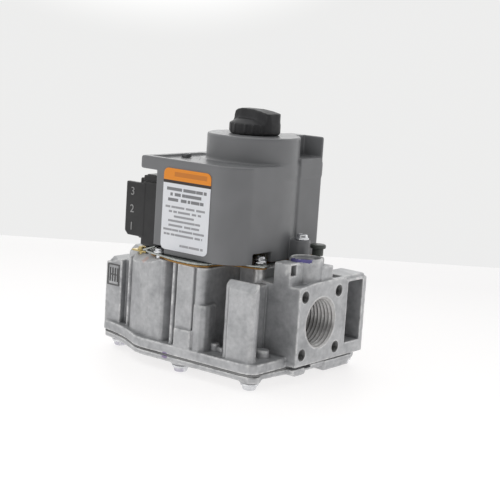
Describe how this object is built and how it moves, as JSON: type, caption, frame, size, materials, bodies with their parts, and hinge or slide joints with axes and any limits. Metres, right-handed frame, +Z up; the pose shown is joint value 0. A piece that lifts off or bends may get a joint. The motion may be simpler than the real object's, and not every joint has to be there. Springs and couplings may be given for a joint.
{
  "type": "gas control valve",
  "caption": "Combination gas control valve: die-cast body with threaded inlet and outlet ports, moulded operator cover, rotary shut-off knob, regulator tower and terminal block.",
  "frame": {"origin": "centre of the overall bounding box in plan, on the plane of the bottom cover's screw heads", "axes": "+Z up through the knob, the longest extent; +X from the inlet face to the outlet face, along the pipe; the label side of the operator cover faces -Y"},
  "size_m": [0.1016, 0.0844, 0.1133],
  "materials": {
    "cast_aluminium": "bare pressure die casting, mottled satin, worn bright edges",
    "zinc_plate": "zinc plated steel, fine satin",
    "steel": "bare steel, machined",
    "grey_plastic": "moulded mid grey plastic, fine texture",
    "black_plastic": "moulded black plastic, low sheen",
    "rubber": "black nitrile rubber",
    "gasket_fibre": "pressed cork fibre, golden brown edge",
    "brass": "bare brass",
    "copper_wire": "enamelled copper wire winding",
    "label_film": "printed film, white field with an orange band and a dark bar"
  },
  "bodies": {
    "valve_housing": {"bottom_cover": "cast_aluminium", "bottom_gasket": "rubber", "cover_screw_1": "zinc_plate", "cover_screw_2": "zinc_plate", "cover_screw_3": "zinc_plate", "cover_screw_4": "zinc_plate", "cover_screw_5": "zinc_plate", "cover_screw_6": "zinc_plate", "deck_button": "black_plastic", "ground_screw": "brass", "ground_tab": "brass", "inlet_screen": "steel", "inlet_tap_plug": "steel", "lug_screw": "zinc_plate", "main_coil_bobbin": "black_plastic", "main_coil_frame": "zinc_plate", "main_coil_winding": "copper_wire", "main_core_tube": "steel", "main_plunger_spring": "steel", "main_valve_spring": "steel", "mounting_plate": "zinc_plate", "notice_label": "label_film", "operator_cover": "grey_plastic", "operator_gasket": "gasket_fibre", "outlet_tap_plug": "steel", "pilot_adjust_cap": "black_plastic", "pilot_coil_bobbin": "black_plastic", "pilot_coil_frame": "zinc_plate", "pilot_coil_winding": "copper_wire", "pilot_core_tube": "steel", "pilot_fitting_nut": "brass", "pilot_plunger_spring": "steel", "plate_screw_1": "zinc_plate", "plate_screw_2": "zinc_plate", "plate_screw_3": "zinc_plate", "regulator_cap": "steel", "regulator_spring": "steel", "regulator_spring_seat": "steel", "servo_diaphragm": "rubber", "shaft_bushing": "brass", "shaft_seal": "rubber", "terminal_blade_1": "brass", "terminal_blade_2": "brass", "terminal_blade_3": "brass", "terminal_block": "black_plastic", "valve_body": "cast_aluminium", "vent_cap": "black_plastic"},
    "knob_assembly": {"knob": "black_plastic", "knob_shaft": "steel", "shutoff_plug": "brass"},
    "main_plunger_unit": {"main_plunger": "steel", "main_plunger_seat": "rubber"},
    "pilot_plunger_unit": {"pilot_plunger": "steel", "pilot_plunger_seat": "rubber"},
    "main_valve_unit": {"main_valve_disc": "steel", "main_valve_seal": "rubber", "main_valve_stem": "steel", "diaphragm_plate": "zinc_plate"},
    "regulator_screw_unit": {"regulator_adjust_screw": "black_plastic"},
    "pilot_adjust_unit": {"pilot_adjust_screw": "steel"}
  },
  "joints": [
    {"name": "knob_turn", "type": "hinge", "parent": "valve_housing", "child": "knob_assembly", "pos_m": [0.0086, -0.00235, 0.1022], "axis": [0, 0, 1], "range_deg": [0, 90]},
    {"name": "main_plunger_lift", "type": "slide", "parent": "valve_housing", "child": "main_plunger_unit", "axis": [0, 0, 1], "range_m": [0, 0.0012], "stiffness_N_per_m": 200, "springref_m": -0.003, "deforming": ["main_plunger_spring"]},
    {"name": "pilot_plunger_lift", "type": "slide", "parent": "valve_housing", "child": "pilot_plunger_unit", "axis": [0, 0, 1], "range_m": [0, 0.0012], "stiffness_N_per_m": 200, "springref_m": -0.003, "deforming": ["pilot_plunger_spring"]},
    {"name": "main_valve_lift", "type": "slide", "parent": "valve_housing", "child": "main_valve_unit", "axis": [0, 0, 1], "range_m": [0, 0.0024], "stiffness_N_per_m": 300, "springref_m": -0.004, "deforming": ["main_valve_spring", "servo_diaphragm"]},
    {"name": "regulator_turn", "type": "hinge", "parent": "valve_housing", "child": "regulator_screw_unit", "pos_m": [0.0417, -0.00345, 0.0473], "axis": [0, 0, 1], "range_deg": [-360, 270]},
    {"name": "pilot_adjust_turn", "type": "hinge", "parent": "valve_housing", "child": "pilot_adjust_unit", "pos_m": [-0.0338, -0.01835, 0.0433], "axis": [0, 0, 1], "range_deg": [-180, 180]}
  ]
}
